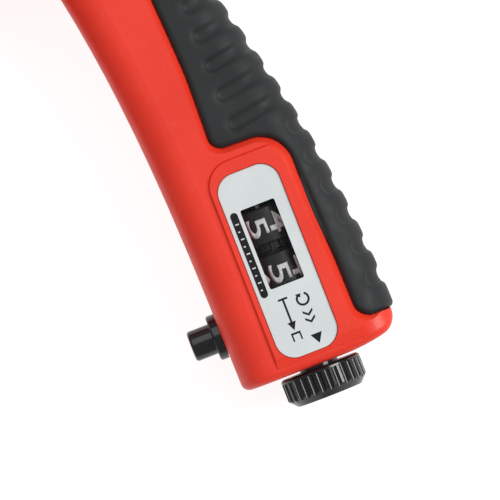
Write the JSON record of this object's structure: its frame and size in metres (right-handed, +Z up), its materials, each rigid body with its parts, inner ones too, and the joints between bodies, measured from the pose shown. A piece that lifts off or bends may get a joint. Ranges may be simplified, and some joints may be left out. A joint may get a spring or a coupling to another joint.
{
  "type": "punch down tool",
  "caption": "Squeeze-handle punch down tool that seats wires in a jack in one stroke, with a stroke counter, reset knob and counter plunger in the fixed handle.",
  "frame": {"origin": "middle of the plan on the table that the tool lies on", "axes": "+Z up through the tool's thickness, +Y from the butt to the head, +X towards the palm side of the handle"},
  "size_m": [0.11, 0.1834, 0.0252],
  "materials": {
    "red_plastic": "moulded, fine texture",
    "grip_rubber": "soft matt",
    "black_plastic": "moulded gloss",
    "drum_plastic": "moulded",
    "white_plastic": "moulded acetal",
    "label_plate": "printed",
    "clear_lens": "clear acrylic",
    "plated_steel": "zinc plated",
    "dark_steel": "oil blackened",
    "tool_steel": "ground",
    "spring_steel": "drawn wire",
    "bronze": "sintered"
  },
  "bodies": {
    "handle": {"shell_right": "red_plastic", "shell_left": "red_plastic", "grip_right": "grip_rubber", "grip_left": "grip_rubber", "shell_screws": "dark_steel", "frame_plate_right": "plated_steel", "frame_plate_left": "plated_steel", "spine_spacer": "plated_steel", "spine_sleeve": "plated_steel", "guide_block": "white_plastic", "frame_rivets": "plated_steel", "nest_block": "black_plastic", "nest_screws": "plated_steel", "lever_pivot_pin": "tool_steel", "pivot_clips": "dark_steel", "return_spring": "spring_steel", "counter_frame": "drum_plastic", "pinion_shaft": "tool_steel", "detent_spring": "spring_steel", "reset_spring": "spring_steel", "plunger_bush": "black_plastic", "plunger_spring": "spring_steel", "window_lens": "clear_lens", "counter_label": "label_plate"},
    "lever": {"lever_core": "plated_steel", "lever_bushes": "bronze", "drive_pin": "tool_steel", "lever_shell_right": "red_plastic", "lever_shell_left": "red_plastic", "lever_grip_right": "grip_rubber", "lever_grip_left": "grip_rubber", "lever_screws": "dark_steel", "counter_striker": "black_plastic"},
    "punch": {"carriage": "tool_steel", "die_holder": "black_plastic", "stuffer_fins": "tool_steel", "trim_blades": "tool_steel", "die_screws": "dark_steel"},
    "plunger": {"plunger": "black_plastic", "drive_pawl": "white_plastic"},
    "units_wheel": {"units_wheel": "drum_plastic", "ratchet_wheel": "white_plastic"},
    "tens_wheel": {"tens_wheel": "drum_plastic"},
    "transfer_pinion": {"transfer_pinion": "white_plastic"},
    "reset_slider": {"reset_washer": "white_plastic"},
    "reset_knob": {"reset_knob": "black_plastic", "knob_collar": "black_plastic", "reset_shaft": "tool_steel", "shaft_clip": "dark_steel"}
  },
  "joints": [
    {"name": "lever_swing", "type": "hinge", "parent": "handle", "child": "lever", "pos_m": [-0.0029, 0.02165, 0.0126], "axis": [0, 0, 1], "range_deg": [0, 30], "stiffness_Nm_per_rad": 0.6, "springref_deg": -20.05, "deforming": ["return_spring"]},
    {"name": "punch_slide", "type": "slide", "parent": "handle", "child": "punch", "axis": [0, 1, 0], "range_m": [0, 0.00726]},
    {"name": "plunger_slide", "type": "slide", "parent": "handle", "child": "plunger", "axis": [1, 0, 0], "range_m": [0, 0.0034], "deforming": ["plunger_spring"]},
    {"name": "units_turn", "type": "hinge", "parent": "handle", "child": "units_wheel", "pos_m": [0.0371, -0.06535, 0.016], "axis": [0, 1, 0], "continuous": true},
    {"name": "tens_turn", "type": "hinge", "parent": "handle", "child": "tens_wheel", "pos_m": [0.0371, -0.06535, 0.016], "axis": [0, 1, 0], "continuous": true},
    {"name": "pinion_turn", "type": "hinge", "parent": "handle", "child": "transfer_pinion", "pos_m": [0.0371, -0.06085, 0.0075], "axis": [0, 1, 0], "continuous": true},
    {"name": "reset_push", "type": "slide", "parent": "handle", "child": "reset_slider", "axis": [0, 1, 0], "range_m": [0, 0.0005], "stiffness_N_per_m": 2000, "springref_m": -0.001, "deforming": ["reset_spring"]},
    {"name": "reset_turn", "type": "hinge", "parent": "reset_slider", "child": "reset_knob", "pos_m": [0.0371, -0.08835, 0.016], "axis": [0, 1, 0], "continuous": true}
  ],
  "couplings": [
    {"joint": "punch_slide", "follows": "lever_swing", "m_per_rad": 0.013841},
    {"joint": "plunger_slide", "follows": "lever_swing", "m_per_rad": 0.006493},
    {"joint": "tens_turn", "follows": "units_turn", "ratio": 0.1},
    {"joint": "pinion_turn", "follows": "units_turn", "ratio": -0.25}
  ]
}
